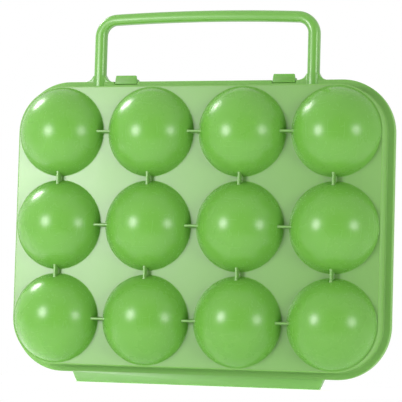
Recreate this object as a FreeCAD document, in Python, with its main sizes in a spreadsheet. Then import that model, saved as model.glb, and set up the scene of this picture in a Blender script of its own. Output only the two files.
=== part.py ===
import FreeCAD, Part
import math
import os
import Sketcher

# Twelve-egg carrier: two mirrored plastic shells that close on a moulded-in hinge along
# the bottom, with a half handle on each shell and two snap hooks over the top edges.
#
# Frame, in millimetres: X is the width, Y the depth and Z is up. The origin is at the
# middle of the bottom edge, on the parting plane (Y = 0). The lid is at -Y, the base at +Y.
# Both shells are drawn on the lid's side and the base is turned half round about Z.

doc = FreeCAD.newDocument("EggCarrier")

# ---------------------------------------------------------------- driving dimensions

SIZES = (
    ("columns", 4),
    ("rows", 3),
    # egg cups: shallow domes, cut from a sphere whose centre lies behind the panel face
    ("cup_radius", 26.5),
    ("cup_sink", 8.0),
    ("column_gap", 3.5),
    ("row_gap", 2.9),
    ("wall", 1.5),
    # panel and side wall
    ("shell_depth", 14.5),
    ("panel_margin", 1.2),
    ("panel_round", 0.9),
    # flange round the parting plane
    ("flange_width", 4.0),
    ("flange_thickness", 2.5),
    # stiffening ribs between neighbouring cups
    ("rib_thickness", 1.45),
    ("rib_height", 5.0),
    # hinge leaves and the thin web between them
    ("leaf_height", 5.7),
    ("leaf_half_length", 74.4),
    ("leaf_slant", 2.8),
    ("web_half_thickness", 0.4),
    ("web_height", 1.2),
    ("web_lift", 0.1),
    # carry handle, one half on each shell
    ("handle_half_span", 63.75),
    ("handle_width", 7.0),
    ("handle_depth", 3.5),
    ("handle_edge_round", 3.0),
    ("handle_rise", 40.7),
    ("handle_bar", 6.5),
    ("handle_outer_corner", 13.5),
    ("handle_inner_corner", 6.2),
    ("handle_top_radius", 1200.0),
    ("handle_flare", 5.0),
    # snap hooks
    ("hook_half_spacing", 47.15),
    ("hook_bottom_width", 13.7),
    ("hook_top_width", 12.2),
    ("hook_wall", 1.5),
    ("hook_lip", 1.5),
    ("hook_tab_rise", 3.5),
    ("hook_gap", 0.15),
    ("notch_gap", 0.2),
    ("flexure_height", 0.4),
    ("flexure_thickness", 0.9),
)

sheet = doc.addObject("Spreadsheet::Sheet", "Sizes")
for line, (alias, size) in enumerate(SIZES, start=1):
    sheet.set(f"A{line}", alias)
    sheet.set(f"B{line}", str(size))
    sheet.setAlias(f"B{line}", alias)
doc.recompute()

COLUMNS = int(sheet.columns)
ROWS = int(sheet.rows)

UP = FreeCAD.Vector(0, 0, 1)
QUARTER = math.pi / 2
SAME = 1e-4                       # millimetres within which two places are the same

# Sizes that follow from the ones above, as expressions that several pieces share.
CUP_BASE = "sqrt(Sizes.cup_radius^2 - Sizes.cup_sink^2)"
CUP_INSIDE = "Sizes.cup_radius - Sizes.wall"
CUP_HOLE = f"sqrt(({CUP_INSIDE})^2 - Sizes.cup_sink^2)"
CUP_LATITUDE = "asin(Sizes.cup_sink / Sizes.cup_radius)"
COLUMN_PITCH = f"(2 * {CUP_BASE} + Sizes.column_gap)"
ROW_PITCH = f"(2 * {CUP_BASE} + Sizes.row_gap)"

PANEL_X = f"((Sizes.columns - 1) / 2 * {COLUMN_PITCH} + {CUP_BASE} + Sizes.panel_margin)"
PANEL_Z = f"((Sizes.rows - 1) / 2 * {ROW_PITCH} + {CUP_BASE} + Sizes.panel_margin)"
PANEL_CORNER = f"({CUP_BASE} + Sizes.panel_margin)"
CENTRE_Z = f"(Sizes.leaf_height + Sizes.flange_width + {PANEL_Z})"
PANEL_TOP = f"({CENTRE_Z} + {PANEL_Z})"
RIM_TOP = f"({PANEL_TOP} + Sizes.flange_width)"


def value(expression):
    """The number that an expression on the sheet has now."""
    result = sheet.evalExpression(expression)
    return float(getattr(result, "Value", result))


# ---------------------------------------------------------------- drawing helpers

def new_body(node, side):
    """A body on the lid's side, or turned half round about Z for the base's side."""
    body = doc.addObject("PartDesign::Body", node)
    body.Label = node
    turn = 180 if side == "base" else 0
    body.Placement = FreeCAD.Placement(
        FreeCAD.Vector(0, 0, 0), FreeCAD.Rotation(FreeCAD.Vector(0, 0, 1), turn))
    return body


def new_sketch(body, name, plane="XZ_Plane", depth="0"):
    """A sketch on one of the body's own planes, moved along the plane's normal by depth."""
    sketch = body.newObject("Sketcher::SketchObject", name)
    origin_plane = [feature for feature in body.Origin.OriginFeatures if feature.Role == plane]
    sketch.AttachmentSupport = (origin_plane[0], "")
    sketch.MapMode = "FlatFace"
    sketch.setExpression("AttachmentOffset.Base.z", depth)
    return sketch


def bind(sketch, kind, places, expression, name):
    """A dimension whose value follows an expression on the sheet."""
    index = sketch.addConstraint(Sketcher.Constraint(kind, *places, value(expression)))
    sketch.renameConstraint(index, name)
    sketch.setExpression(f"Constraints.{name}", expression)


def draw_rounded_rectangle(sketch, name, half_x, half_z, corner):
    """Four lines joined by four tangent arcs, centred on the panel's centre height."""
    x, z, r, middle = (value(e) for e in (half_x, half_z, corner, CENTRE_Z))
    x0, z0, z1 = x - r, middle - z + r, middle + z - r

    def line(ax, az, bx, bz):
        return Part.LineSegment(FreeCAD.Vector(ax, az, 0), FreeCAD.Vector(bx, bz, 0))

    def arc(cx, cz, start):
        circle = Part.Circle(FreeCAD.Vector(cx, cz, 0), UP, r)
        return Part.ArcOfCircle(circle, start * QUARTER, (start + 1) * QUARTER)

    first = len(sketch.Geometry)
    sketch.addGeometry([
        line(-x0, middle - z, x0, middle - z), arc(x0, z0, 3),
        line(x, z0, x, z1), arc(x0, z1, 0),
        line(x0, middle + z, -x0, middle + z), arc(-x0, z1, 1),
        line(-x, z1, -x, z0), arc(-x0, z0, 2),
    ], False)
    bottom, right, top, left = first, first + 2, first + 4, first + 6
    for step in range(0, 8, 2):
        straight, bend = first + step, first + step + 1
        following = first + (step + 2) % 8
        sketch.addConstraint(Sketcher.Constraint("Tangent", straight, 2, bend, 1))
        sketch.addConstraint(Sketcher.Constraint("Tangent", bend, 2, following, 1))
    sketch.addConstraint([
        Sketcher.Constraint("Horizontal", bottom), Sketcher.Constraint("Horizontal", top),
        Sketcher.Constraint("Vertical", left), Sketcher.Constraint("Vertical", right),
        Sketcher.Constraint("Equal", first + 1, first + 3),
        Sketcher.Constraint("Equal", first + 1, first + 5),
        Sketcher.Constraint("Equal", first + 1, first + 7),
    ])
    bind(sketch, "Radius", (first + 1,), corner, f"{name}_corner")
    bind(sketch, "DistanceX", (-1, 1, right, 1), half_x, f"{name}_right")
    bind(sketch, "DistanceX", (left, 1, -1, 1), half_x, f"{name}_left")
    bind(sketch, "DistanceY", (-1, 1, bottom, 1), f"{CENTRE_Z} - ({half_z})", f"{name}_bottom")
    bind(sketch, "DistanceY", (-1, 1, top, 1), f"{CENTRE_Z} + ({half_z})", f"{name}_top")


def draw_polygon(sketch, name, corners):
    """A closed polygon whose corners are pairs of expressions."""
    points = [FreeCAD.Vector(value(x), value(z), 0) for x, z in corners]
    count = len(points)
    first = len(sketch.Geometry)
    for index in range(count):
        sketch.addGeometry(Part.LineSegment(points[index], points[(index + 1) % count]), False)
    for index in range(count):
        here, after = first + index, first + (index + 1) % count
        sketch.addConstraint(Sketcher.Constraint("Coincident", here, 2, after, 1))
    for index, (x, z) in enumerate(corners):
        bind(sketch, "DistanceX", (-1, 1, first + index, 1), x, f"{name}_x{index}")
        bind(sketch, "DistanceY", (-1, 1, first + index, 1), z, f"{name}_z{index}")


def pad(body, sketch, length, midplane=False):
    """Extrude a sketch by the length that an expression gives."""
    feature = body.newObject("PartDesign::Pad", sketch.Name + "_pad")
    feature.Profile = sketch
    feature.Midplane = midplane
    feature.setExpression("Length", length)
    sketch.Visibility = False
    doc.recompute()
    return feature


def pocket(body, sketch, length, reverse):
    """Cut a sketch into the body and check that it removed something."""
    before = body.Shape.Volume
    feature = body.newObject("PartDesign::Pocket", sketch.Name + "_pocket")
    feature.Profile = sketch
    feature.Reversed = reverse
    feature.setExpression("Length", length)
    doc.recompute()
    if not body.Shape.Volume < before:
        raise RuntimeError(f"{feature.Name} cuts nothing")
    return feature


def round_edges(body, base, chosen, radius):
    """Fillet the edges that the test picks."""
    names = [f"Edge{i}" for i, edge in enumerate(base.Shape.Edges, start=1) if chosen(edge)]
    feature = body.newObject("PartDesign::Fillet", base.Name + "_round")
    feature.Base = (base, names)
    feature.setExpression("Radius", radius)
    doc.recompute()
    return feature


def lies_at_depth(edge, depth):
    """Whether the whole edge lies in the plane Y = -depth of its own body."""
    box = edge.BoundBox
    return abs(box.YMin + depth) < SAME and abs(box.YMax + depth) < SAME


def column_x(column):
    return f"({column} - (Sizes.columns + 1) / 2) * {COLUMN_PITCH}"


def row_z(row):
    return f"{CENTRE_Z} + ({row} - (Sizes.rows + 1) / 2) * {ROW_PITCH}"


# ---------------------------------------------------------------- the pieces of a shell

nodes = []


def make_panel(side):
    """The flat front sheet of a shell, with a round hole under each cup."""
    body = new_body(f"{side}_panel", side)
    sketch = new_sketch(body, f"{side}_panel_outline", depth="Sizes.shell_depth - Sizes.wall")
    draw_rounded_rectangle(sketch, "outline", PANEL_X, PANEL_Z, PANEL_CORNER)
    for row in range(1, ROWS + 1):
        for column in range(1, COLUMNS + 1):
            x, z = column_x(column), row_z(row)
            centre = FreeCAD.Vector(value(x), value(z), 0)
            hole = sketch.addGeometry(
                Part.Circle(centre, UP, value(CUP_HOLE)), False)
            bind(sketch, "Radius", (hole,), CUP_HOLE, f"hole_{row}_{column}")
            bind(sketch, "DistanceX", (-1, 1, hole, 3), x, f"hole_x_{row}_{column}")
            bind(sketch, "DistanceY", (-1, 1, hole, 3), z, f"hole_z_{row}_{column}")
    plate = pad(body, sketch, "Sizes.wall")
    front, hole_radius = value("Sizes.shell_depth"), value(CUP_HOLE)

    def is_outer_front_edge(edge):
        is_hole = isinstance(edge.Curve, Part.Circle) and abs(edge.Curve.Radius - hole_radius) < SAME
        return lies_at_depth(edge, front) and not is_hole

    round_edges(body, plate, is_outer_front_edge, "Sizes.panel_round")
    nodes.append(body)


def make_rim(side):
    """The side wall behind the panel and the flange that meets the other shell's flange."""
    body = new_body(f"{side}_rim", side)
    inner = (f"{PANEL_X} - Sizes.wall", f"{PANEL_Z} - Sizes.wall", f"{PANEL_CORNER} - Sizes.wall")
    outer = (f"{PANEL_X} + Sizes.flange_width", f"{PANEL_Z} + Sizes.flange_width",
             f"{PANEL_CORNER} + Sizes.flange_width")
    flange = new_sketch(body, f"{side}_flange_outline")
    draw_rounded_rectangle(flange, "outer", *outer)
    draw_rounded_rectangle(flange, "inner", *inner)
    pad(body, flange, "Sizes.flange_thickness")
    side_wall = new_sketch(body, f"{side}_wall_outline")
    draw_rounded_rectangle(side_wall, "outer", PANEL_X, PANEL_Z, PANEL_CORNER)
    draw_rounded_rectangle(side_wall, "inner", *inner)
    pad(body, side_wall, "Sizes.shell_depth - Sizes.wall")
    if side == "lid":
        half = "(Sizes.hook_bottom_width / 2 + Sizes.notch_gap)"
        floor = f"{RIM_TOP} - Sizes.hook_lip - Sizes.notch_gap"
        above = f"{RIM_TOP} + Sizes.flange_width"
        notches = new_sketch(body, "lid_rim_notches")
        for name, middle in (("right", "Sizes.hook_half_spacing"), ("left", "-Sizes.hook_half_spacing")):
            low, high = f"{middle} - {half}", f"{middle} + {half}"
            draw_polygon(notches, name, ((low, floor), (high, floor), (high, above), (low, above)))
        pocket(body, notches, "Sizes.flange_thickness", reverse=True)
    nodes.append(body)


def new_cap(name):
    """A solid spherical cap about its own Z axis, with its flat base at the panel face."""
    cap = doc.addObject("Part::Sphere", name)
    cap.setExpression("Radius", "Sizes.cup_radius")
    cap.setExpression("Angle1", CUP_LATITUDE)
    return cap


def place_on_shell(piece, side, row, column):
    """Turn a cup's Z axis outwards and centre its sphere behind the panel face."""
    outward = -1 if side == "lid" else 1
    piece.Placement = FreeCAD.Placement(
        FreeCAD.Vector(0, 0, 0), FreeCAD.Rotation(FreeCAD.Vector(1, 0, 0), -90 * outward))
    piece.setExpression("Placement.Base.x", column_x(column))
    piece.setExpression("Placement.Base.y", f"{outward} * (Sizes.shell_depth - Sizes.cup_sink)")
    piece.setExpression("Placement.Base.z", row_z(row))


def make_cup(side, row, column):
    """One dome: a spherical cap hollowed to the wall thickness."""
    node = f"{side}_cup_{row}_{column}"
    outside = new_cap(f"{node}_outside")
    inside = doc.addObject("Part::Sphere", f"{node}_inside")
    inside.setExpression("Radius", CUP_INSIDE)
    cup = doc.addObject("Part::Cut", node)
    cup.Label = node
    cup.Base = outside
    cup.Tool = inside
    place_on_shell(cup, side, row, column)
    nodes.append(cup)


def make_ribs(side):
    """The upright ribs between neighbouring cups: bars cut away where the cups stand."""
    bars, caps = [], []

    def add_bar(name, along_x, row, column):
        run = f"{COLUMN_PITCH if along_x else ROW_PITCH} - {CUP_BASE}"
        bar = doc.addObject("Part::Box", f"{side}_rib_{name}_{row}_{column}")
        bar.setExpression("Length", run if along_x else "Sizes.rib_thickness")
        bar.setExpression("Width", "Sizes.rib_height")
        bar.setExpression("Height", "Sizes.rib_thickness" if along_x else run)
        from_centre = f"{CUP_BASE} / 2"
        across = "Sizes.rib_thickness / 2"
        bar.setExpression("Placement.Base.x", f"{column_x(column)} + {from_centre}" if along_x
                          else f"{column_x(column)} - {across}")
        bar.setExpression("Placement.Base.y", "-Sizes.shell_depth - Sizes.rib_height")
        bar.setExpression("Placement.Base.z", f"{row_z(row)} - {across}" if along_x
                          else f"{row_z(row)} + {from_centre}")
        bars.append(bar)

    for row in range(1, ROWS + 1):
        for column in range(1, COLUMNS + 1):
            cap = new_cap(f"{side}_rib_cap_{row}_{column}")
            place_on_shell(cap, "lid", row, column)
            caps.append(cap)
            if column < COLUMNS:
                add_bar("across", True, row, column)
            if row < ROWS:
                add_bar("up", False, row, column)

    blanks = doc.addObject("Part::Compound", f"{side}_rib_bars")
    blanks.Links = bars
    tools = doc.addObject("Part::Compound", f"{side}_rib_caps")
    tools.Links = caps
    ribs = doc.addObject("Part::Cut", f"{side}_ribs")
    ribs.Label = f"{side}_ribs"
    ribs.Base = blanks
    ribs.Tool = tools
    turn = 180 if side == "base" else 0
    ribs.Placement = FreeCAD.Placement(
        FreeCAD.Vector(0, 0, 0), FreeCAD.Rotation(FreeCAD.Vector(0, 0, 1), turn))
    nodes.append(ribs)


def draw_handle(sketch):
    """Two straight legs joined by a slightly bowed bar, with tangent corner arcs."""
    outer_x = "(Sizes.handle_half_span + Sizes.handle_width / 2)"
    inner_x = "(Sizes.handle_half_span - Sizes.handle_width / 2)"
    bow_centre = f"{RIM_TOP} + Sizes.handle_rise - Sizes.handle_top_radius"
    loops = (
        ("outer", outer_x, "Sizes.handle_top_radius", "Sizes.handle_outer_corner"),
        ("inner", inner_x, "Sizes.handle_top_radius - Sizes.handle_bar", "Sizes.handle_inner_corner"),
    )
    foot_z, bow_z = value(PANEL_TOP), value(bow_centre)
    for name, leg_x, bow_radius, corner_radius in loops:
        x, bow, r = value(leg_x), value(bow_radius), value(corner_radius)
        corner = FreeCAD.Vector(x - r, bow_z + ((bow - r) ** 2 - (x - r) ** 2) ** 0.5, 0)
        tilt = FreeCAD.Vector(0, 1, 0).getAngle(corner - FreeCAD.Vector(0, bow_z, 0))
        mirror = FreeCAD.Vector(-corner.x, corner.y, 0)
        first = len(sketch.Geometry)
        sketch.addGeometry([
            Part.LineSegment(FreeCAD.Vector(x, foot_z, 0), FreeCAD.Vector(x, corner.y, 0)),
            Part.ArcOfCircle(Part.Circle(corner, UP, r), 0, QUARTER - tilt),
            Part.ArcOfCircle(Part.Circle(FreeCAD.Vector(0, bow_z, 0), UP, bow),
                             QUARTER - tilt, QUARTER + tilt),
            Part.ArcOfCircle(Part.Circle(mirror, UP, r), QUARTER + tilt, 2 * QUARTER),
            Part.LineSegment(FreeCAD.Vector(-x, corner.y, 0), FreeCAD.Vector(-x, foot_z, 0)),
        ], False)
        right, right_corner, bar, left_corner, left = range(first, first + 5)
        for before, after in ((right, right_corner), (right_corner, bar),
                              (bar, left_corner), (left_corner, left)):
            sketch.addConstraint(Sketcher.Constraint("Tangent", before, 2, after, 1))
        sketch.addConstraint([
            Sketcher.Constraint("Vertical", right), Sketcher.Constraint("Vertical", left),
            Sketcher.Constraint("Equal", right_corner, left_corner),
            Sketcher.Constraint("PointOnObject", bar, 3, -2),
        ])
        bind(sketch, "Radius", (right_corner,), corner_radius, f"{name}_corner")
        bind(sketch, "Radius", (bar,), bow_radius, f"{name}_bow")
        bind(sketch, "DistanceY", (-1, 1, bar, 3), bow_centre, f"{name}_bow_centre")
        bind(sketch, "DistanceX", (-1, 1, right, 1), leg_x, f"{name}_right")
        bind(sketch, "DistanceX", (left, 2, -1, 1), leg_x, f"{name}_left")
        bind(sketch, "DistanceY", (-1, 1, right, 1), PANEL_TOP, f"{name}_right_foot")
        bind(sketch, "DistanceY", (-1, 1, left, 2), PANEL_TOP, f"{name}_left_foot")
    outer_right, outer_left, inner_right, inner_left = 0, 4, 5, 9
    for outer, inner, end in ((outer_right, inner_right, 1), (outer_left, inner_left, 2)):
        points = [sketch.Geometry[leg].StartPoint if end == 1 else sketch.Geometry[leg].EndPoint
                  for leg in (outer, inner)]
        foot = sketch.addGeometry(Part.LineSegment(*points), False)
        sketch.addConstraint(Sketcher.Constraint("Coincident", foot, 1, outer, end))
        sketch.addConstraint(Sketcher.Constraint("Coincident", foot, 2, inner, end))


def draw_flare(sketch, name, leg_x):
    """A gusset on the rim's top: a leg's width plus a concave quarter arc on each side."""
    x, z = value(leg_x), value(RIM_TOP)
    half, flare = value("Sizes.handle_width / 2"), value("Sizes.handle_flare")
    left_centre = FreeCAD.Vector(x - half - flare, z + flare, 0)
    right_centre = FreeCAD.Vector(x + half + flare, z + flare, 0)
    first = len(sketch.Geometry)
    sketch.addGeometry([
        Part.LineSegment(FreeCAD.Vector(x - half - flare, z, 0),
                         FreeCAD.Vector(x + half + flare, z, 0)),
        Part.ArcOfCircle(Part.Circle(right_centre, UP, flare), 2 * QUARTER, 3 * QUARTER),
        Part.LineSegment(FreeCAD.Vector(x + half, z + flare, 0),
                         FreeCAD.Vector(x - half, z + flare, 0)),
        Part.ArcOfCircle(Part.Circle(left_centre, UP, flare), 3 * QUARTER, 4 * QUARTER),
    ], False)
    base, right, top, left = range(first, first + 4)
    sketch.addConstraint([
        Sketcher.Constraint("Coincident", base, 2, right, 2),
        Sketcher.Constraint("Coincident", right, 1, top, 1),
        Sketcher.Constraint("Coincident", top, 2, left, 2),
        Sketcher.Constraint("Coincident", left, 1, base, 1),
        Sketcher.Constraint("Equal", right, left),
        Sketcher.Constraint("Vertical", right, 2, right, 3),
        Sketcher.Constraint("Horizontal", right, 1, right, 3),
        Sketcher.Constraint("Vertical", left, 1, left, 3),
        Sketcher.Constraint("Horizontal", left, 2, left, 3),
    ])
    reach = "(Sizes.handle_width / 2 + Sizes.handle_flare)"
    height = f"{RIM_TOP} + Sizes.handle_flare"
    bind(sketch, "Radius", (right,), "Sizes.handle_flare", f"{name}_flare")
    bind(sketch, "DistanceX", (-1, 1, right, 3), f"{leg_x} + {reach}", f"{name}_right_x")
    bind(sketch, "DistanceX", (-1, 1, left, 3), f"{leg_x} - {reach}", f"{name}_left_x")
    bind(sketch, "DistanceY", (-1, 1, right, 3), height, f"{name}_right_z")
    bind(sketch, "DistanceY", (-1, 1, left, 3), height, f"{name}_left_z")


def make_handle(side):
    """Half of the carry handle, from the parting plane outwards, standing on the rim."""
    body = new_body(f"{side}_handle", side)
    outline = new_sketch(body, f"{side}_handle_outline")
    draw_handle(outline)
    bar = pad(body, outline, "Sizes.handle_depth")
    front, foot = value("Sizes.handle_depth"), value(PANEL_TOP)

    def is_long_front_edge(edge):
        return lies_at_depth(edge, front) and edge.BoundBox.ZMax > foot + SAME

    round_edges(body, bar, is_long_front_edge, "Sizes.handle_edge_round")
    flares = new_sketch(body, f"{side}_handle_flares")
    draw_flare(flares, "right", "Sizes.handle_half_span")
    draw_flare(flares, "left", "-Sizes.handle_half_span")
    pad(body, flares, "Sizes.flange_thickness")
    seat = new_sketch(body, f"{side}_handle_seat")
    reach = "(Sizes.handle_half_span + Sizes.handle_width)"
    draw_polygon(seat, "seat", (
        (f"-{reach}", f"{PANEL_TOP} - Sizes.wall"), (reach, f"{PANEL_TOP} - Sizes.wall"),
        (reach, RIM_TOP), (f"-{reach}", RIM_TOP)))
    pocket(body, seat, "Sizes.flange_thickness", reverse=True)
    nodes.append(body)


def make_hinge_leaf(side):
    """The strip below the rim that carries the hinge web and is the carrier's foot."""
    body = new_body(f"{side}_hinge_leaf", side)
    outline = new_sketch(body, f"{side}_leaf_outline")
    short = "(Sizes.leaf_half_length - Sizes.leaf_slant)"
    draw_polygon(outline, "leaf", (
        (f"-{short}", "0"), (short, "0"),
        ("Sizes.leaf_half_length", "Sizes.leaf_height"),
        ("-Sizes.leaf_half_length", "Sizes.leaf_height")))
    pad(body, outline, "Sizes.flange_thickness")
    relief = new_sketch(body, f"{side}_leaf_relief")
    draw_polygon(relief, "relief", (
        ("-Sizes.leaf_half_length", "0"), ("Sizes.leaf_half_length", "0"),
        ("Sizes.leaf_half_length", "Sizes.web_height"),
        ("-Sizes.leaf_half_length", "Sizes.web_height")))
    pocket(body, relief, "Sizes.web_half_thickness", reverse=True)
    nodes.append(body)


# ---------------------------------------------------------------- what joins the shells

def make_hinge_web():
    """The thin bendable strip between the two leaves, just above the surface they stand on."""
    web = doc.addObject("Part::Box", "hinge_web")
    web.Label = "hinge_web"
    half = "(Sizes.leaf_half_length - Sizes.leaf_slant)"
    web.setExpression("Length", f"2 * {half}")
    web.setExpression("Width", "2 * Sizes.web_half_thickness")
    web.setExpression("Height", "Sizes.web_height - Sizes.web_lift")
    web.setExpression("Placement.Base.x", f"-{half}")
    web.setExpression("Placement.Base.y", "-Sizes.web_half_thickness")
    web.setExpression("Placement.Base.z", "Sizes.web_lift")
    nodes.append(web)


# The back plate stands behind the base's flange and the strap passes over both flanges,
# with the same gap. The lip stands in the lid's notch, flush with the lid's flange.
HOOK_REACH = "(Sizes.flange_thickness + Sizes.hook_gap)"
HOOK_OUTSIDE = f"({HOOK_REACH} + Sizes.hook_wall)"
STRAP_BOTTOM = f"({RIM_TOP} + Sizes.hook_gap)"


def make_hook(name, middle):
    """A snap hook: back plate, strap over the flanges, and a tapered lip that is its tab."""
    body = new_body(f"latch_hook_{name}", "lid")
    profile = new_sketch(body, f"hook_{name}_profile", plane="YZ_Plane")
    root = f"{PANEL_TOP} + Sizes.flexure_height"
    strap_top = f"{STRAP_BOTTOM} + Sizes.hook_wall"
    draw_polygon(profile, "strap", (
        (HOOK_REACH, root), (HOOK_OUTSIDE, root), (HOOK_OUTSIDE, strap_top),
        ("-Sizes.flange_thickness", strap_top), ("-Sizes.flange_thickness", STRAP_BOTTOM),
        (HOOK_REACH, STRAP_BOTTOM)))
    pad(body, profile, "Sizes.hook_top_width", midplane=True)
    lip = new_sketch(body, f"hook_{name}_lip", depth="Sizes.flange_thickness - Sizes.hook_wall")
    low, high = f"{RIM_TOP} - Sizes.hook_lip", f"{RIM_TOP} + Sizes.hook_tab_rise"
    draw_polygon(lip, "lip", (
        ("-Sizes.hook_bottom_width / 2", low), ("Sizes.hook_bottom_width / 2", low),
        ("Sizes.hook_top_width / 2", high), ("-Sizes.hook_top_width / 2", high)))
    pad(body, lip, "Sizes.hook_wall")
    body.setExpression("Placement.Base.x", middle)
    nodes.append(body)


def make_flexure(name, middle):
    """The thin root that the hook bends at, between the base's top wall and the back plate."""
    flexure = doc.addObject("Part::Box", f"latch_flexure_{name}")
    flexure.Label = f"latch_flexure_{name}"
    flexure.setExpression("Length", "Sizes.hook_top_width")
    flexure.setExpression("Width", "Sizes.flexure_thickness")
    flexure.setExpression("Height", "Sizes.flexure_height")
    flexure.setExpression("Placement.Base.x", f"{middle} - Sizes.hook_top_width / 2")
    flexure.setExpression(
        "Placement.Base.y", f"({HOOK_REACH} + {HOOK_OUTSIDE} - Sizes.flexure_thickness) / 2")
    flexure.setExpression("Placement.Base.z", PANEL_TOP)
    nodes.append(flexure)


# ---------------------------------------------------------------- build, check and write

for shell in ("lid", "base"):
    make_panel(shell)
    make_rim(shell)
    for cup_row in range(1, ROWS + 1):
        for cup_column in range(1, COLUMNS + 1):
            make_cup(shell, cup_row, cup_column)
    make_ribs(shell)
    make_handle(shell)
    make_hinge_leaf(shell)
make_hinge_web()
for hand, place in (("left", "-Sizes.hook_half_spacing"), ("right", "Sizes.hook_half_spacing")):
    make_hook(hand, place)
    make_flexure(hand, place)
doc.recompute()

faults = [item.Name for item in doc.Objects if {"Invalid", "Error"} & set(item.State)]
faults += [node.Label for node in nodes if node.Shape.isNull() or not node.Shape.isValid()]
if faults:
    raise RuntimeError(f"failed objects: {faults}")

os.makedirs("parts", exist_ok=True)
for node in nodes:
    node.Shape.exportStep(f"parts/{node.Label}.step")
print(len(nodes), "nodes written")
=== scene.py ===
import math

import bpy
import numpy as np
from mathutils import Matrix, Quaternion, Vector


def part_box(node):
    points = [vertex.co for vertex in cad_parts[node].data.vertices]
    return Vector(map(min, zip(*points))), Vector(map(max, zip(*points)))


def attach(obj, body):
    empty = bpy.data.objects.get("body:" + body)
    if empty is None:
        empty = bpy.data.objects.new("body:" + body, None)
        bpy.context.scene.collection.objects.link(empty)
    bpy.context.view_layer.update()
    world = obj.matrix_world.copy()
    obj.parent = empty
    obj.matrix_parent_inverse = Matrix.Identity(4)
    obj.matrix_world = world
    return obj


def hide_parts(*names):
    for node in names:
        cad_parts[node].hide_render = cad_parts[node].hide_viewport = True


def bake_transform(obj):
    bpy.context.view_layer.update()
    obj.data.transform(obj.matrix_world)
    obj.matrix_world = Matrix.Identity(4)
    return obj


# Twelve-egg carrier in green polypropylene: a lid and a base shell that meet on the
# plane Y = 0, with the lid at -Y. Metres, Z up, and every place is read from the frame.
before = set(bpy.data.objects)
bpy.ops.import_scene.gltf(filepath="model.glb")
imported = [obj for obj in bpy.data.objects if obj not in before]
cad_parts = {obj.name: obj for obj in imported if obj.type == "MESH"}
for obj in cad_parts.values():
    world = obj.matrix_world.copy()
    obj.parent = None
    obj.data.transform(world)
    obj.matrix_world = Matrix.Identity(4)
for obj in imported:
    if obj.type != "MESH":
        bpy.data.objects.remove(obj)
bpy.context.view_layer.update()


# ------------------------------------------------------------------ egg cups
# Twelve shallow domes on each shell, 1.5 mm thick, moulded in one with the panel round
# them. Injection-moulded polypropylene off a polished tool, with a soft gloss.

ROWS, COLUMNS = (1, 2, 3), (1, 2, 3, 4)
QUARTER = 24                      # points on a quarter turn, shared by cups, panel and rim
SHELLS = {"lid": -1.0, "base": 1.0}


def corners_of(node):
    """Lowest and highest corner of a CAD node, as arrays."""
    low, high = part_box(node)
    return np.array(low), np.array(high)


low_cup, high_cup = corners_of("lid_cup_1_1")
low_panel, high_panel = corners_of("lid_panel")
WALL = high_panel[1] - low_panel[1]
FRONT = -low_panel[1]                                   # panel face, from the parting plane
CUP_BASE = (high_cup[0] - low_cup[0]) / 2
CUP_RISE = high_cup[1] - low_cup[1]
CUP_RADIUS = (CUP_BASE ** 2 + CUP_RISE ** 2) / (2 * CUP_RISE)
CUP_SINK = CUP_RADIUS - CUP_RISE                        # sphere centre, behind the panel face
CUP_FOOT = 0.0006                                       # fillet where the dome meets the panel
CUP_LIP = 0.0003                                        # rounding of the cup's inner edge


def arc(centre, radius, start, end, count):
    """Points of a circular arc: centre + radius * (cos a, sin a), a evenly spaced in degrees."""
    angle = np.radians(np.linspace(start, end, count))
    return np.stack([centre[0] + radius * np.cos(angle), centre[1] + radius * np.sin(angle)], axis=1)


def ring_faces(rings, around, offset=0, close_rings=False):
    """Quads between neighbouring rings of a grid that is closed round each ring."""
    last = rings if close_rings else rings - 1
    ring, point = np.meshgrid(np.arange(last), np.arange(around), indexing="ij")
    following, beside = (ring + 1) % rings, (point + 1) % around
    quads = np.stack([ring * around + point, ring * around + beside,
                      following * around + beside, following * around + point], axis=-1)
    return quads.reshape(-1, 4) + offset


def tube_surface(rings, closed=False):
    """Skin over rings (R, N, 3): quads between them, and a fan to the middle of each end."""
    count, around, _ = rings.shape
    points = rings.reshape(-1, 3)
    faces = ring_faces(count, around, close_rings=closed).tolist()
    if not closed:
        ends = [rings[0].mean(axis=0), rings[-1].mean(axis=0)]
        points = np.vstack([points, ends])
        here = np.arange(around)
        beside = (here + 1) % around
        first, last = np.full(around, count * around), np.full(around, count * around + 1)
        start = (count - 1) * around
        faces += np.stack([first, beside, here], axis=1).tolist()
        faces += np.stack([last, start + here, start + beside], axis=1).tolist()
    return points, faces


def joined(surfaces):
    """Several (points, faces) surfaces as one, with the face numbers moved along."""
    points, faces, offset = [], [], 0
    for some_points, some_faces in surfaces:
        points.append(some_points)
        faces += [[corner + offset for corner in face] for face in some_faces]
        offset += len(some_points)
    return np.vstack(points), faces


def turned_outwards(points, faces):
    """Reverses a closed surface whose signed volume, the sum of a . (b x c) / 6, is negative."""
    volume = 0.0
    for size in {len(face) for face in faces}:
        corners = points[np.array([face for face in faces if len(face) == size])]
        for middle in range(1, size - 1):
            a, b, c = corners[:, 0], corners[:, middle], corners[:, middle + 1]
            volume += np.einsum("ij,ij->", a, np.cross(b, c))
    return faces if volume > 0 else [face[::-1] for face in faces]


def add_piece(name, surface, material, body, nodes, sharp=35):
    """A mesh object from a closed surface, smooth but for edges above the sharp angle."""
    points, faces = surface
    mesh = bpy.data.meshes.new(name)
    mesh.from_pydata(points.tolist(), [], turned_outwards(points, faces))
    mesh.polygons.foreach_set("use_smooth", np.ones(len(mesh.polygons), dtype=bool))
    mesh.set_sharp_from_angle(angle=math.radians(sharp))
    mesh.materials.append(material)
    mesh.update()
    piece = bpy.data.objects.new(name, mesh)
    bpy.context.scene.collection.objects.link(piece)
    if body is not None:
        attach(piece, body)
    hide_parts(*nodes)
    return piece


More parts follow.
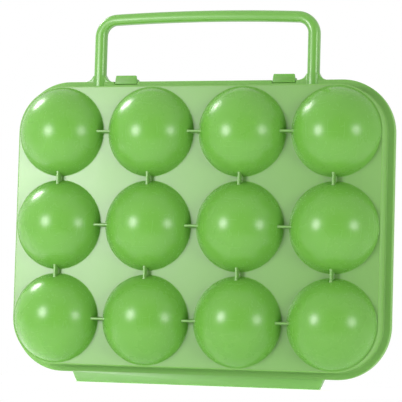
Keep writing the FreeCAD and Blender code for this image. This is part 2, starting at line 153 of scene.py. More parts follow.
def new_group(name, inputs, outputs):
    """An empty shader node group with the named sockets."""
    group = bpy.data.node_groups.new(name, "ShaderNodeTree")
    for socket, kind, default in inputs:
        made = group.interface.new_socket(socket, in_out="INPUT", socket_type=kind)
        if default is not None:
            made.default_value = default
    for socket, kind in outputs:
        group.interface.new_socket(socket, in_out="OUTPUT", socket_type=kind)
    return group, group.nodes.new("NodeGroupInput"), group.nodes.new("NodeGroupOutput")


def maths(tree, operation, first, second=None, clamp=False):
    """A Math node whose inputs are links or numbers; returns its output."""
    node = tree.nodes.new("ShaderNodeMath")
    node.operation = operation
    node.use_clamp = clamp
    for place, given in enumerate((first, second)):
        if isinstance(given, bpy.types.NodeSocket):
            tree.links.new(given, node.inputs[place])
        elif given is not None:
            node.inputs[place].default_value = given
    return node.outputs[0]


def noise(tree, coordinates, scale, detail=3.0, roughness=0.5, stretch=None):
    """Noise from 0 to 1 on the given coordinates, which may be stretched first."""
    if stretch is not None:
        mapping = tree.nodes.new("ShaderNodeMapping")
        mapping.inputs["Scale"].default_value = stretch
        tree.links.new(coordinates, mapping.inputs["Vector"])
        coordinates = mapping.outputs[0]
    node = tree.nodes.new("ShaderNodeTexNoise")
    tree.links.new(coordinates, node.inputs["Vector"])
    node.inputs["Scale"].default_value = scale
    node.inputs["Detail"].default_value = detail
    node.inputs["Roughness"].default_value = roughness
    return node.outputs["Fac"]


def mixed(tree, factor, first, second):
    """A colour between two, by a factor."""
    node = tree.nodes.new("ShaderNodeMix")
    node.data_type = "RGBA"
    tree.links.new(factor, node.inputs["Factor"])
    for place, given in ((6, first), (7, second)):
        if isinstance(given, bpy.types.NodeSocket):
            tree.links.new(given, node.inputs[place])
        else:
            node.inputs[place].default_value = given
    return node.outputs[2]


def pigment_group():
    """Colour of a pigmented melt: broad soft clouds and faint flow streaks up the part."""
    group, given, out = new_group(
        "melt pigment",
        [("Vector", "NodeSocketVector", None), ("Colour", "NodeSocketColor", (0.2, 0.5, 0.1, 1)),
         ("Pale", "NodeSocketColor", (0.3, 0.6, 0.2, 1)), ("Amount", "NodeSocketFloat", 0.2)],
        [("Colour", "NodeSocketColor")])
    clouds = noise(group, given.outputs["Vector"], 22.0, detail=4.0)
    streaks = noise(group, given.outputs["Vector"], 60.0, detail=2.0, stretch=(1.0, 1.0, 0.12))
    both = maths(group, "ADD", maths(group, "MULTIPLY", clouds, 0.7),
                 maths(group, "MULTIPLY", streaks, 0.3))
    spread = maths(group, "MULTIPLY", maths(group, "SUBTRACT", both, 0.35), 2.2, clamp=True)
    factor = maths(group, "MULTIPLY", spread, given.outputs["Amount"])
    group.links.new(mixed(group, factor, given.outputs["Colour"], given.outputs["Pale"]),
                    out.inputs["Colour"])
    return group


def skin_group():
    """Moulded skin: roughness with hairline scratches and handling smears, and a fine height."""
    group, given, out = new_group(
        "moulded skin",
        [("Vector", "NodeSocketVector", None), ("Roughness", "NodeSocketFloat", 0.3),
         ("Variation", "NodeSocketFloat", 0.06), ("Scratches", "NodeSocketFloat", 0.1)],
        [("Roughness", "NodeSocketFloat"), ("Height", "NodeSocketFloat")])
    vector = given.outputs["Vector"]
    smears = maths(group, "SUBTRACT", noise(group, vector, 45.0, detail=5.0), 0.5)
    rough = maths(group, "ADD", given.outputs["Roughness"],
                  maths(group, "MULTIPLY", smears, given.outputs["Variation"]))
    hairlines = None
    for stretch in ((1.0, 1.0, 0.03), (0.03, 1.0, 1.0), (0.7, 1.0, 0.06)):
        lines = noise(group, vector, 900.0, detail=1.0, stretch=stretch)
        lines = maths(group, "MULTIPLY", maths(group, "SUBTRACT", lines, 0.68), 8.0, clamp=True)
        hairlines = lines if hairlines is None else maths(group, "MAXIMUM", hairlines, lines)
    scratched = maths(group, "MULTIPLY", hairlines, given.outputs["Scratches"])
    group.links.new(maths(group, "ADD", rough, scratched, clamp=True), out.inputs["Roughness"])
    ripple = noise(group, vector, 160.0, detail=2.0)
    grain = noise(group, vector, 1800.0, detail=2.0)
    height = maths(group, "ADD", maths(group, "MULTIPLY", ripple, 0.8),
                   maths(group, "MULTIPLY", grain, 0.2))
    group.links.new(maths(group, "SUBTRACT", height, maths(group, "MULTIPLY", scratched, 0.5)),
                    out.inputs["Height"])
    return group


PIGMENT, SKIN = pigment_group(), skin_group()
REFRACTION = 1.49                                       # polypropylene's index
SOAK_COLOUR, SOAK_DEPTH = (0.7, 1.0, 0.35), 0.004       # how light spreads inside; green goes furthest
SCRATCHES = 0.05                                        # roughness that a hairline scratch adds
BUMP, BUMP_DEEP = 0.12, 0.0002


def plastic(name, colour, pale, roughness, shine=0.5, amount=0.25, glow=0.22):
    """Polypropylene: pigment and skin groups on object coordinates, with light soaking in."""
    material = bpy.data.materials.new(name)
    material.use_nodes = True
    tree = material.node_tree
    shader = tree.nodes["Principled BSDF"]
    shader.inputs["IOR"].default_value = REFRACTION
    shader.inputs["Specular IOR Level"].default_value = shine
    shader.inputs["Subsurface Weight"].default_value = glow
    shader.inputs["Subsurface Radius"].default_value = SOAK_COLOUR
    shader.inputs["Subsurface Scale"].default_value = SOAK_DEPTH
    place = tree.nodes.new("ShaderNodeTexCoord").outputs["Object"]
    pigment = tree.nodes.new("ShaderNodeGroup")
    pigment.node_tree = PIGMENT
    pigment.inputs["Colour"].default_value = (*colour, 1)
    pigment.inputs["Pale"].default_value = (*pale, 1)
    pigment.inputs["Amount"].default_value = amount
    skin = tree.nodes.new("ShaderNodeGroup")
    skin.node_tree = SKIN
    skin.inputs["Roughness"].default_value = roughness
    skin.inputs["Scratches"].default_value = SCRATCHES
    bump = tree.nodes.new("ShaderNodeBump")
    bump.inputs["Strength"].default_value = BUMP
    bump.inputs["Distance"].default_value = BUMP_DEEP
    tree.links.new(place, pigment.inputs["Vector"])
    tree.links.new(place, skin.inputs["Vector"])
    tree.links.new(pigment.outputs["Colour"], shader.inputs["Base Color"])
    tree.links.new(skin.outputs["Roughness"], shader.inputs["Roughness"])
    tree.links.new(skin.outputs["Height"], bump.inputs["Height"])
    tree.links.new(bump.outputs["Normal"], shader.inputs["Normal"])
    return material


SHELL_GREEN, SHELL_PALE = (0.124, 0.335, 0.044), (0.165, 0.40, 0.075)
cup_plastic = plastic("polished green polypropylene", SHELL_GREEN, SHELL_PALE, 0.27, shine=0.4)

# The profile runs in (radius, depth behind the panel face), from the outer pole over the
# dome and its foot fillet to the seam with the panel, and back along the inside.
foot_centre = (math.sqrt((CUP_RADIUS + CUP_FOOT) ** 2 - (CUP_SINK + CUP_FOOT) ** 2), -CUP_FOOT)
foot_angle = math.degrees(math.atan2(CUP_SINK + CUP_FOOT, foot_centre[0]))
inside_radius = CUP_RADIUS - WALL
lip_depth = CUP_SINK - WALL + CUP_LIP
lip_centre = (math.sqrt((inside_radius + CUP_LIP) ** 2 - lip_depth ** 2), WALL - CUP_LIP)
lip_angle = math.degrees(math.atan2(lip_depth, lip_centre[0]))
SEAM_FLAT = 0.00004                                     # level strip between fillet and seam
FRONT_SEAM = foot_centre[0] + SEAM_FLAT
BACK_SEAM = lip_centre[0] + 0.00013                     # just past the inner edge's rounding
POLE = -89                                              # degrees; a fan closes the last bit


def cup_profile():
    """Sphere arc, foot fillet, seam, lip rounding and inner sphere arc, as (radius, depth)."""
    centre = (0.0, CUP_SINK)
    outside = arc(centre, CUP_RADIUS, POLE, -foot_angle, 36)
    foot = arc(foot_centre, CUP_FOOT, 180 - foot_angle, 90, 7)
    lip = arc(lip_centre, CUP_LIP, 90, 180 - lip_angle, 6)
    inside = arc(centre, inside_radius, -lip_angle, POLE, 30)
    return np.vstack([outside, foot[1:], [(FRONT_SEAM, 0.0), (BACK_SEAM, WALL)], lip, inside[1:]])


def cup_surface(side, row, column):
    """The profile turned about the cup's axis: x = cx + r cos t, z = cz + r sin t."""
    low, high = corners_of(f"{side}_cup_{row}_{column}")
    middle = (low + high) / 2
    radius, depth = cup_profile().T[:, :, None]
    turn = np.linspace(0, 2 * np.pi, 4 * QUARTER, endpoint=False)[None, :]
    outward = SHELLS[side]
    return tube_surface(np.stack([middle[0] + radius * np.cos(turn),
                                  outward * (FRONT - depth) + 0 * turn,
                                  middle[2] + radius * np.sin(turn)], axis=-1))


for side in SHELLS:
    for row in ROWS:
        for column in COLUMNS:
            node = f"{side}_cup_{row}_{column}"
            add_piece(f"{node}_dome", cup_surface(side, row, column), cup_plastic, side, [node])


# ------------------------------------------------------------------ panels
# The flat sheet round the cups. One moulding with them in the real shell, so it meets
# each dome's foot fillet at the same level. Its skin is more satin than the domes'. Its green
# is the domes' plastic made paler and greyer, which is a painted sheen.

OUTLINE_X, OUTLINE_Z = high_panel[0], (high_panel[2] - low_panel[2]) / 2
MIDDLE_Z = (high_panel[2] + low_panel[2]) / 2
CORNER = OUTLINE_X - (np.array(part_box("lid_cup_1_4")).mean(axis=0))[0]
EDGE_ROUND = 0.0006                                     # rounding of the panel's outer edge
FRONT_INSET = EDGE_ROUND + 2 * SEAM_FLAT                # panel stops here, the rim carries on
BACK_INSET = CORNER - BACK_SEAM - 0.00006               # leaves a thin ring of sheet at the corners
SAME = 1e-7                                             # metres within which places are the same
EVEN = 1e-9                                             # slack on a sine or cosine of nought

SHEET_GREEN_WITH_PAINTED_SHEEN, SHEET_PALE_WITH_PAINTED_SHEEN = (0.140, 0.32, 0.060), (0.165, 0.36, 0.082)   # the domes' green made paler and greyer: painted sheen
sheen_painted_sheet_plastic = plastic("green polypropylene sheet with painted sheen", SHEET_GREEN_WITH_PAINTED_SHEEN, SHEET_PALE_WITH_PAINTED_SHEEN, 0.38, shine=0.85)


def cell_outline(near, far, rounded):
    """Outline of one cup's share of the panel, as points at even turns about the cup.

    It is a box from -near to +far, walked so that each side takes a quarter turn, and a
    quarter circle in place of the corner that is rounded."""
    turn = np.linspace(0, 2 * np.pi, 4 * QUARTER, endpoint=False)
    eighth = turn / (np.pi / 4)
    across = np.clip(2 - np.abs((eighth + 4) % 8 - 4), -1, 1)
    up = np.clip(2 - np.abs((eighth + 2) % 8 - 4), -1, 1)
    x = np.where(across > 0, across * far[0], across * near[0])
    z = np.where(up > 0, up * far[1], up * near[1])
    if rounded is not None:
        sx, sz = rounded
        inside = (np.cos(turn) * sx > -EVEN) & (np.sin(turn) * sz > -EVEN)
        reach = far[0] if sx > 0 else near[0]
        x = np.where(inside, reach * np.cos(turn), x)
        z = np.where(inside, reach * np.sin(turn), z)
    return np.stack([x, z], axis=1)


def panel_surface(side):
    """Twelve ring-shaped cells between a cup's seam circle and the cell's outline.

    Each cell is four bands: face, hole wall, back, and outer edge where it has one."""
    outward = SHELLS[side]
    centres = {(row, column): np.array(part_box(f"{side}_cup_{row}_{column}")).mean(axis=0)
               for row in ROWS for column in COLUMNS}
    half_x = abs(centres[1, 2][0] - centres[1, 1][0]) / 2
    half_z = abs(centres[2, 1][2] - centres[1, 1][2]) / 2
    points, faces, offset = [], [], 0
    around = 4 * QUARTER
    turn = np.linspace(0, 2 * np.pi, around, endpoint=False)
    circle = np.stack([np.cos(turn), np.sin(turn)], axis=1)
    for (row, column), centre in centres.items():
        left, right = column == COLUMNS[0], column == COLUMNS[-1]
        low, high = row == ROWS[0], row == ROWS[-1]
        at_corner = (left or right) and (low or high)
        rounded = ((1 if right else -1), (1 if high else -1)) if at_corner else None
        rings = []
        for inset, seam, depth in ((FRONT_INSET, FRONT_SEAM, 0.0), (BACK_INSET, BACK_SEAM, WALL)):
            near = (CORNER - inset if left else half_x, CORNER - inset if low else half_z)
            far = (CORNER - inset if right else half_x, CORNER - inset if high else half_z)
            edge = cell_outline(near, far, rounded)
            hole = circle * seam
            pair = [edge, hole] if depth == 0.0 else [hole, edge]
            for flat in pair:
                level = np.full((around, 1), outward * (FRONT - depth))
                rings.append(np.hstack([flat[:, :1] + centre[0], level, flat[:, 1:] + centre[2]]))
        rings = np.array(rings)
        quads = ring_faces(4, around, close_rings=True).reshape(4, around, 4)
        outer_x = np.abs(np.abs(rings[0, :, 0]) - (OUTLINE_X - FRONT_INSET)) < SAME
        outer_z = np.abs(np.abs(rings[0, :, 2] - MIDDLE_Z) - (OUTLINE_Z - FRONT_INSET)) < SAME
        corner_arc = np.zeros(around, dtype=bool)
        if rounded is not None:
            corner_arc = (circle[:, 0] * rounded[0] > -EVEN) & (circle[:, 1] * rounded[1] > -EVEN)
        beside = (np.arange(around) + 1) % around
        on_edge = ((outer_x & outer_x[beside]) | (outer_z & outer_z[beside])
                   | (corner_arc & corner_arc[beside]))
        kept = np.vstack([quads[:3].reshape(-1, 4), quads[3][on_edge]])
        points.append(rings.reshape(-1, 3))
        faces.append(kept + offset)
        offset += 4 * around
    points, faces = np.vstack(points), np.vstack(faces)
    _, first, welded = np.unique(np.round(points / SAME).astype(np.int64), axis=0,
                                 return_index=True, return_inverse=True)
    return points[first], welded.reshape(-1)[faces].tolist()


for side in SHELLS:
    add_piece(f"{side}_panel_sheet", panel_surface(side), sheen_painted_sheet_plastic, side, [f"{side}_panel"])


# ------------------------------------------------------------------ rims
# The side wall that drops back from the panel and the flat flange that meets the other
# shell's. The lid's flange has two shallow notches that let the snap hooks through.

high_rim = corners_of("lid_rim")[1]
FLANGE = high_rim[0] - OUTLINE_X
low_leaf, high_leaf = corners_of("lid_hinge_leaf")
FLANGE_THICK = high_leaf[1] - low_leaf[1]               # the flange is as thick as the leaf
low_hook, high_hook = corners_of("latch_hook_right")
HOOK_X = (low_hook[0] + high_hook[0]) / 2
HOOK_WIDE = high_hook[0] - low_hook[0]
HOOK_LIP = 0.0015                                       # how far a hook's lip reaches down
NOTCH_GAP = 0.0002
NOTCH_DEEP = HOOK_LIP + NOTCH_GAP
NOTCH_EASE = 0.0002                                     # half the width of a notch's side step
TOP_SLACK = 1e-6                                        # metres within which a place is on the top
# Lighter than the sheet's green though it is the same plastic: painted light on the rim.
RIM_GREEN_PAINTED_LIGHT, RIM_PALE_PAINTED_LIGHT = (0.155, 0.35, 0.07), (0.19, 0.40, 0.10)
painted_light_rim_plastic = plastic("green polypropylene edge with painted light", RIM_GREEN_PAINTED_LIGHT, RIM_PALE_PAINTED_LIGHT, 0.60, shine=0.45)


def rounded_path(half_x, half_z, corner, middle_z, straight):
    """A rounded box as (x, z) and its outward direction, anticlockwise from the right side."""
    places, normals = [], []
    for turn, (sx, sz) in enumerate(((1, 1), (-1, 1), (-1, -1), (1, -1))):
        angle = np.radians(np.linspace(90 * turn, 90 * turn + 90, QUARTER + 1))
        normal = np.stack([np.cos(angle), np.sin(angle)], axis=1)
        centre = np.array([sx * (half_x - corner), middle_z + sz * (half_z - corner)])
        places.append(centre + corner * normal)
        normals.append(normal)
        following = ((-1, 1), (-1, -1), (1, -1), (1, 1))[turn]
        goal = np.array([following[0] * (half_x - corner), middle_z + following[1] * (half_z - corner)])
        goal = goal + corner * normal[-1]
        share = straight(turn)[:, None]
        places.append(places[-1][-1] + share * (goal - places[-1][-1]))
        normals.append(np.repeat(normal[-1:], len(share), axis=0))
    return np.vstack(places), np.vstack(normals)


def notch_shares(turn):
    """Where the straight sides are cut: close together at the notches along the top."""
    even = np.linspace(0, 1, 9)[1:-1]
    if turn != 0:
        return even
    reach = OUTLINE_X - CORNER
    edges = [side * HOOK_X + end * (HOOK_WIDE / 2 + NOTCH_GAP + ease)
             for side in (1, -1) for end in (1, -1) for ease in np.linspace(-NOTCH_EASE, NOTCH_EASE, 5)]
    return np.sort(np.concatenate([even, (reach - np.array(edges)) / (2 * reach)]))


def notch_depth(places):
    """How far the flange's outer edge steps in: a smooth step each side of each hook."""
    x, top = places[:, 0], places[:, 1] > MIDDLE_Z + OUTLINE_Z - TOP_SLACK
    half = HOOK_WIDE / 2 + NOTCH_GAP
    inside = np.clip((half + NOTCH_EASE - np.abs(np.abs(x) - HOOK_X)) / (2 * NOTCH_EASE), 0, 1)
    return np.where(top, NOTCH_DEEP * inside * inside * (3 - 2 * inside), 0.0)


def rim_profile():
    """Section of wall and flange in (distance outside the panel's outline, depth)."""
    flange_face, edge, foot = FRONT - FLANGE_THICK, 0.00035, 0.0008
    inner, inner_foot = -WALL, 0.00035
    parting_edge, mouth = 0.00015, 0.0003               # roundings at the parting plane
    return np.vstack([
        [(-FRONT_INSET, 0.0)],
        arc((-EDGE_ROUND, EDGE_ROUND), EDGE_ROUND, -90, 0, 7),
        arc((foot, flange_face - foot), foot, 180, 90, 6),
        arc((FLANGE - edge, flange_face + edge), edge, -90, 0, 5),
        arc((FLANGE - parting_edge, FRONT - parting_edge), parting_edge, 0, 90, 4),
        arc((inner + mouth, FRONT - mouth), mouth, 90, 180, 5),
        arc((inner - inner_foot, WALL + inner_foot), inner_foot, 0, -90, 5),
        [(-BACK_INSET, WALL)],
    ])


def rim_surface(side):
    """The profile carried round the outline: place + distance * outward direction."""
    places, normals = rounded_path(OUTLINE_X, OUTLINE_Z, CORNER, MIDDLE_Z, notch_shares)
    profile = rim_profile()
    distance = np.repeat(profile[None, :, 0], len(places), axis=0)
    if side == "lid":
        limit = FLANGE - notch_depth(places)[:, None]
        outer = distance > FLANGE / 2
        distance = np.where(outer, distance - (FLANGE - limit), distance)
    spots = places[:, None, :] + distance[..., None] * normals[:, None, :]
    depth = np.repeat(SHELLS[side] * (FRONT - profile[None, :, 1]), len(places), axis=0)
    return tube_surface(np.stack([spots[..., 0], depth, spots[..., 1]], axis=-1), closed=True)


for side in SHELLS:
    add_piece(f"{side}_rim_moulding", rim_surface(side), painted_light_rim_plastic, side, [f"{side}_rim"])


# ------------------------------------------------------------------ ribs
# Thin upright ribs that tie neighbouring cups together, rounded on top, with small
# fillets at the panel and at the domes. Moulded in one piece with the shell.

low_ribs, high_ribs = corners_of("lid_ribs")
RIB_TALL = high_ribs[1] - low_ribs[1]
RIB_HALF = 0.000725
RIB_TOP = 0.0004
RIB_FOOT = 0.0004
RIB_DRAFT = 0.85                                        # thickness at the top, as a share
RIB_SUNK = 0.0003                                       # how far the foot goes into the panel
RIB_BITE = 0.0004                                       # how far each end goes into a dome
RIB_SWELL, SWELL_LENGTH = 0.5, 0.00025                  # fillet where a rib meets a dome


def rib_section():
    """(half thickness, height) up one side of a rib: foot fillet, drafted side, round top."""
    foot = arc((RIB_HALF + RIB_FOOT, RIB_FOOT), RIB_FOOT, 270, 180, 5)
    top = arc((RIB_HALF * RIB_DRAFT - RIB_TOP, RIB_TALL - RIB_TOP), RIB_TOP, 0, 90, 5)
    return np.vstack([[(RIB_HALF + RIB_FOOT, -RIB_SUNK)], foot, top])


def rib_surface(centre, direction, pitch, outward):
    """The section carried from dome to dome; each height ends inside the dome's wall."""
    up = rib_section()
    section = np.vstack([up, up[::-1] * (-1, 1)])
    height = section[:, 1]
    reach = pitch / 2 - np.sqrt(CUP_RADIUS ** 2 - (CUP_SINK + height) ** 2)
    share = np.array([0, 0.3, 0.6, 0.8, 0.9, 1.0])
    share = np.concatenate([-share[:0:-1], share])[:, None]
    along = share * (reach + RIB_BITE)[None, :]
    gap = np.maximum(reach[None, :] - np.abs(along), 0)
    swell = 1 + RIB_SWELL * np.exp(-gap / SWELL_LENGTH)
    across = section[None, :, 0] * swell
    side_way = np.array([direction[1], direction[0]])
    spots = centre + along[..., None] * direction + across[..., None] * side_way
    level = np.repeat(outward * (FRONT + height)[None, :], len(share), axis=0)
    return tube_surface(np.stack([spots[..., 0], level, spots[..., 1]], axis=-1))


def shell_ribs(side):
    """Ribs between the cups of each row, and between the rows."""
    ribs = []
    middles = {(row, column): np.array(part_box(f"{side}_cup_{row}_{column}")).mean(axis=0)[[0, 2]]
               for row in ROWS for column in COLUMNS}
    for (row, column), here in middles.items():
        for beside in ((row, column + 1), (row + 1, column)):
            if beside in middles:
                step = middles[beside] - here
                pitch = float(np.linalg.norm(step))
                ribs.append(rib_surface((here + middles[beside]) / 2, step / pitch, pitch, SHELLS[side]))
    return joined(ribs)


for side in SHELLS:
    # The ribs take the sheet's plastic, whose paler, greyer green holds a painted sheen.
    add_piece(f"{side}_rib_set", shell_ribs(side), sheen_painted_sheet_plastic, side, [f"{side}_ribs"])


# ------------------------------------------------------------------ carry handle
# Each shell carries half of the handle, a D-shaped bar. Closed, the two halves make one
# round bar with a fine parting line. The legs flare where they stand on the rim.

low_handle, high_handle = corners_of("lid_handle")
HANDLE_DEEP = high_handle[1] - low_handle[1]
HANDLE_TOP = high_handle[2]
RIM_TOP = high_rim[2]
LEG_WIDE, BAR_TALL, FLARE = 0.007, 0.0065, 0.005
LEG_X = high_handle[0] - FLARE - LEG_WIDE / 2
BOW = 1.2                                               # radius of the slightly bowed grip
OUTER_CORNER, INNER_CORNER = 0.0135, 0.0062
BAR_POWER, WING_POWER = 2.3, 14                         # 2 is an ellipse, and more is boxier
MELT = 0.0004                                           # how softly bar and flare run together
PARTING_GAP = 0.00002                                   # from the parting plane to each half
FOOT_SUNK, FOOT_START = 0.0003, 0.0004                  # past the flange, and below the rim's top
WING_SHY, WING_GROWS = 0.0001, 0.0003                   # short of the flange face; flare for all of it
PARTING_SHARE, PARTING_FADE = 0.04, 0.0002              # fine step in along the parting line
handle_plastic = plastic("green polypropylene grip", SHELL_GREEN, SHELL_PALE, 0.30, shine=0.8)


def handle_edge(half_span, bow, corner, foot):
    """One edge of the handle, right foot to left foot: leg, corner, bowed bar, corner, leg."""
    bow_z = HANDLE_TOP - BOW
    rise = math.sqrt((bow - corner) ** 2 - (half_span - corner) ** 2)
    centre = (half_span - corner, bow_z + rise)
    lean = math.degrees(math.atan2(centre[0], rise))
    legs = np.concatenate([[foot], np.linspace(RIM_TOP - FOOT_START, RIM_TOP + FLARE, 13),
                           np.linspace(RIM_TOP + FLARE, centre[1], 8)[1:-1]])
    leg = np.stack([np.full(len(legs), half_span), legs], axis=1)
    right = np.vstack([leg, arc(centre, corner, 0, 90 - lean, 17)])
    bar = arc((0.0, bow_z), bow, 90 - lean, 90 + lean, 41)[1:-1]
    return np.vstack([right, bar, right[::-1] * (-1, 1)])


def handle_surface(side):
    """A bar between two edges, whose depth is the larger of a half-round and a flat flare.

    Half-round: D (1 - |t|^n)^(1/n). Flare: as deep as the flange and boxy, where it widens.
    The two run together as log(exp a + exp b - 1), and the width steps in a little as
    exp(-depth^2) towards the parting line."""
    foot = RIM_TOP - FLANGE - FOOT_SUNK
    outer = handle_edge(LEG_X + LEG_WIDE / 2, BOW, OUTER_CORNER, foot)
    inner = handle_edge(LEG_X - LEG_WIDE / 2, BOW - BAR_TALL, INNER_CORNER, foot)
    middle, half = (outer + inner) / 2, (outer - inner) / 2
    width = np.linalg.norm(half, axis=1)
    drop = np.clip(RIM_TOP + FLARE - middle[:, 1], 0, FLARE)
    flare = FLARE - np.sqrt(FLARE ** 2 - drop ** 2)
    full = width + flare
    turn = np.linspace(0, np.pi, 45)
    share = np.sign(np.cos(turn)) * np.abs(np.cos(turn)) ** (2 / BAR_POWER)
    t = full[:, None] * share[None, :]
    bar = np.clip(1 - np.abs(t / width[:, None]) ** BAR_POWER, 0, 1) ** (1 / BAR_POWER) * HANDLE_DEEP
    wing = np.clip(1 - np.abs(share) ** WING_POWER, 0, 1) ** (1 / WING_POWER)
    wing = wing[None, :] * (FLANGE_THICK - WING_SHY) * np.clip(flare / WING_GROWS, 0, 1)[:, None]
    depth = np.log(np.exp(bar / MELT) + np.exp(wing / MELT) - 1) * MELT
    depth = np.minimum(depth, HANDLE_DEEP)
    t = t * (1 - PARTING_SHARE * np.exp(-(depth / PARTING_FADE) ** 2))
    way = half / width[:, None]
    spots = middle[:, None, :] + t[..., None] * way[:, None, :]
    level = SHELLS[side] * (depth + PARTING_GAP)
    return tube_surface(np.stack([spots[..., 0], level, spots[..., 1]], axis=-1))


for side in SHELLS:
    add_piece(f"{side}_handle_half", handle_surface(side), handle_plastic, side, [f"{side}_handle"],
              sharp=50)


# ------------------------------------------------------------------ hinge leaves and web
# A strip below each rim. A thin web joins the two leaves' bottom edges: the moulded-in
# hinge, which turns pale where the plastic is thin and has been bent.

LEAF_SLANT = 0.0028
LEAF_ROUND, LEAF_EDGE = 0.0005, 0.00025                 # corner and edge roundings
WEB_THIN, WEB_THICK = 0.00032, 0.00022                  # at the fold, and what the ends add
WEB_SHORT = 0.0006                                      # how far each end stops short
WEB_GREEN, WEB_PALE = (0.22, 0.58, 0.10), (0.42, 0.74, 0.26)
leaf_plastic = plastic("green polypropylene strip", SHELL_GREEN, SHELL_PALE, 0.36, shine=1.0)
web_plastic = plastic("bent green polypropylene", WEB_GREEN, WEB_PALE, 0.36, amount=0.8, glow=0.35)


def rounded_polygon(corners, radius, inset=0.0, steps=5):
    """Anticlockwise polygon, moved in by inset, with each corner a tangent arc.

    A corner's arc centre lies on its bisector, radius / sin(half angle) from the corner."""
    corners = np.array(corners)
    before, after = np.roll(corners, 1, axis=0), np.roll(corners, -1, axis=0)
    come = (corners - before) / np.linalg.norm(corners - before, axis=1)[:, None]
    go = (after - corners) / np.linalg.norm(after - corners, axis=1)[:, None]
    cross = come[:, 0] * go[:, 1] - come[:, 1] * go[:, 0]
    bend = np.arctan2(cross, (come * go).sum(axis=1))
    sign = np.sign(bend)[:, None]
    normal_in = np.stack([-come[:, 1], come[:, 0]], axis=1)
    radius = np.broadcast_to(radius, len(corners))[:, None]
    centre = corners + sign * radius * (normal_in + come * np.tan(-bend / 2)[:, None])
    start = np.arctan2(-sign[:, 0] * normal_in[:, 1], -sign[:, 0] * normal_in[:, 0])
    angle = start[:, None] + bend[:, None] * np.linspace(0, 1, steps)[None, :]
    reach = radius - sign * inset
    points = centre[:, None, :] + reach[..., None] * np.stack([np.cos(angle), np.sin(angle)], axis=-1)
    return points.reshape(-1, 2)


def slab_surface(corners, radius, low, high, edge, axes):
    """A plate: a rounded polygon carried from low to high, drawn in by the edge rounding.

    axes names the two directions of the outline and then the thickness direction."""
    angle = np.radians(np.linspace(0, 90, 5))
    inset = edge * (1 - np.sin(angle))
    step = edge * (1 - np.cos(angle))
    levels = np.concatenate([low + step, (high - step)[::-1]])
    insets = np.concatenate([inset, inset[::-1]])
    rings = []
    for level, inward in zip(levels, insets):
        outline = rounded_polygon(corners, radius, inward)
        ring = np.zeros((len(outline), 3))
        ring[:, axes[0]], ring[:, axes[1]], ring[:, axes[2]] = outline[:, 0], outline[:, 1], level
        rings.append(ring)
    return capped_surface(np.array(rings))


def capped_surface(rings):
    """Skin over rings with one many-sided face on each end, for outlines that aren't round."""
    count, around, _ = rings.shape
    faces = ring_faces(count, around).tolist()
    faces.append(list(range(around))[::-1])
    faces.append(list(range((count - 1) * around, count * around)))
    return rings.reshape(-1, 3), faces


for side, outward in SHELLS.items():
    short = high_leaf[0] - LEAF_SLANT
    trapezium = [(-short, low_leaf[2]), (short, low_leaf[2]),
                 (high_leaf[0], high_leaf[2] + LEAF_ROUND), (-high_leaf[0], high_leaf[2] + LEAF_ROUND)]
    near, far = sorted((0.0, outward * FLANGE_THICK))
    leaf = slab_surface(trapezium, LEAF_ROUND, near, far, LEAF_EDGE, (0, 2, 1))
    add_piece(f"{side}_hinge_strip", leaf, leaf_plastic, side, [f"{side}_hinge_leaf"])


def web_surface():
    """A thin strip from the base's leaf (+Y) to the lid's (-Y), thinnest on the fold line."""
    low, high = corners_of("hinge_web")
    y = np.linspace(high[1], low[1], 13)
    top = low[2] + WEB_THIN + WEB_THICK * (y / high[1]) ** 2
    section = np.vstack([np.stack([y, np.full(13, low[2])], axis=1), np.stack([y, top], axis=1)[::-1]])
    x = np.linspace(low[0] + WEB_SHORT, high[0] - WEB_SHORT, 49)
    wide = np.repeat(section[None], len(x), axis=0)
    return capped_surface(np.concatenate([np.repeat(x[:, None, None], len(section), axis=1), wide], axis=2))


web = add_piece("hinge_fold", web_surface(), web_plastic, None, ["hinge_web"])
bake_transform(web)


# ------------------------------------------------------------------ snap hooks
# Two hooks on the base that arch over both flanges. The lip stands in a notch of the lid's
# flange and rises into a thumb tab. Each hook bends at a thin root on the base's top wall.

HOOK_WALL = 0.0015
TAB_NARROW = 0.0061                                     # half the tab's width at its top
STRAP_GAP = 0.00015                                     # between strap and flanges
HOOK_ROUND, HOOK_BEND = 0.0003, 0.0011                  # small roundings, and the outer bend
STRAP_EDGE, TAB_ROUND = 0.00025, 0.0005                 # edge and corner roundings
ROOT_WAIST = 0.62                                       # thickness at the waist, as a share
ROOT_SUNK = 0.0002                                      # how far each end goes in
hook_plastic = plastic("green polypropylene hook", SHELL_GREEN, SHELL_PALE, 0.42, shine=0.5)


def hook_surface(hand):
    """An L-shaped plate for back and strap, and a tapered plate for the lip."""
    low, high = corners_of(f"latch_hook_{hand}")
    middle, strap_low = (low[0] + high[0]) / 2, RIM_TOP + STRAP_GAP
    front, back = low[1], high[1]
    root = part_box(f"latch_flexure_{hand}")[1][2]
    ell = [(back - HOOK_WALL, root), (back, root), (back, strap_low + HOOK_WALL),
           (front + HOOK_ROUND, strap_low + HOOK_WALL), (front + HOOK_ROUND, strap_low),
           (back - HOOK_WALL, strap_low)]
    radii = np.array([HOOK_ROUND, HOOK_ROUND, HOOK_BEND, HOOK_ROUND, HOOK_ROUND, HOOK_ROUND])
    strap = slab_surface(ell, radii, middle - TAB_NARROW, middle + TAB_NARROW, STRAP_EDGE, (1, 2, 0))
    wide = (high[0] - low[0]) / 2
    lip_low = RIM_TOP - HOOK_LIP
    lip = [(middle - wide, lip_low), (middle + wide, lip_low),
           (middle + TAB_NARROW, high[2]), (middle - TAB_NARROW, high[2])]
    tab = slab_surface(lip, TAB_ROUND, front, front + HOOK_WALL, HOOK_ROUND, (0, 2, 1))
    return joined([strap, tab])


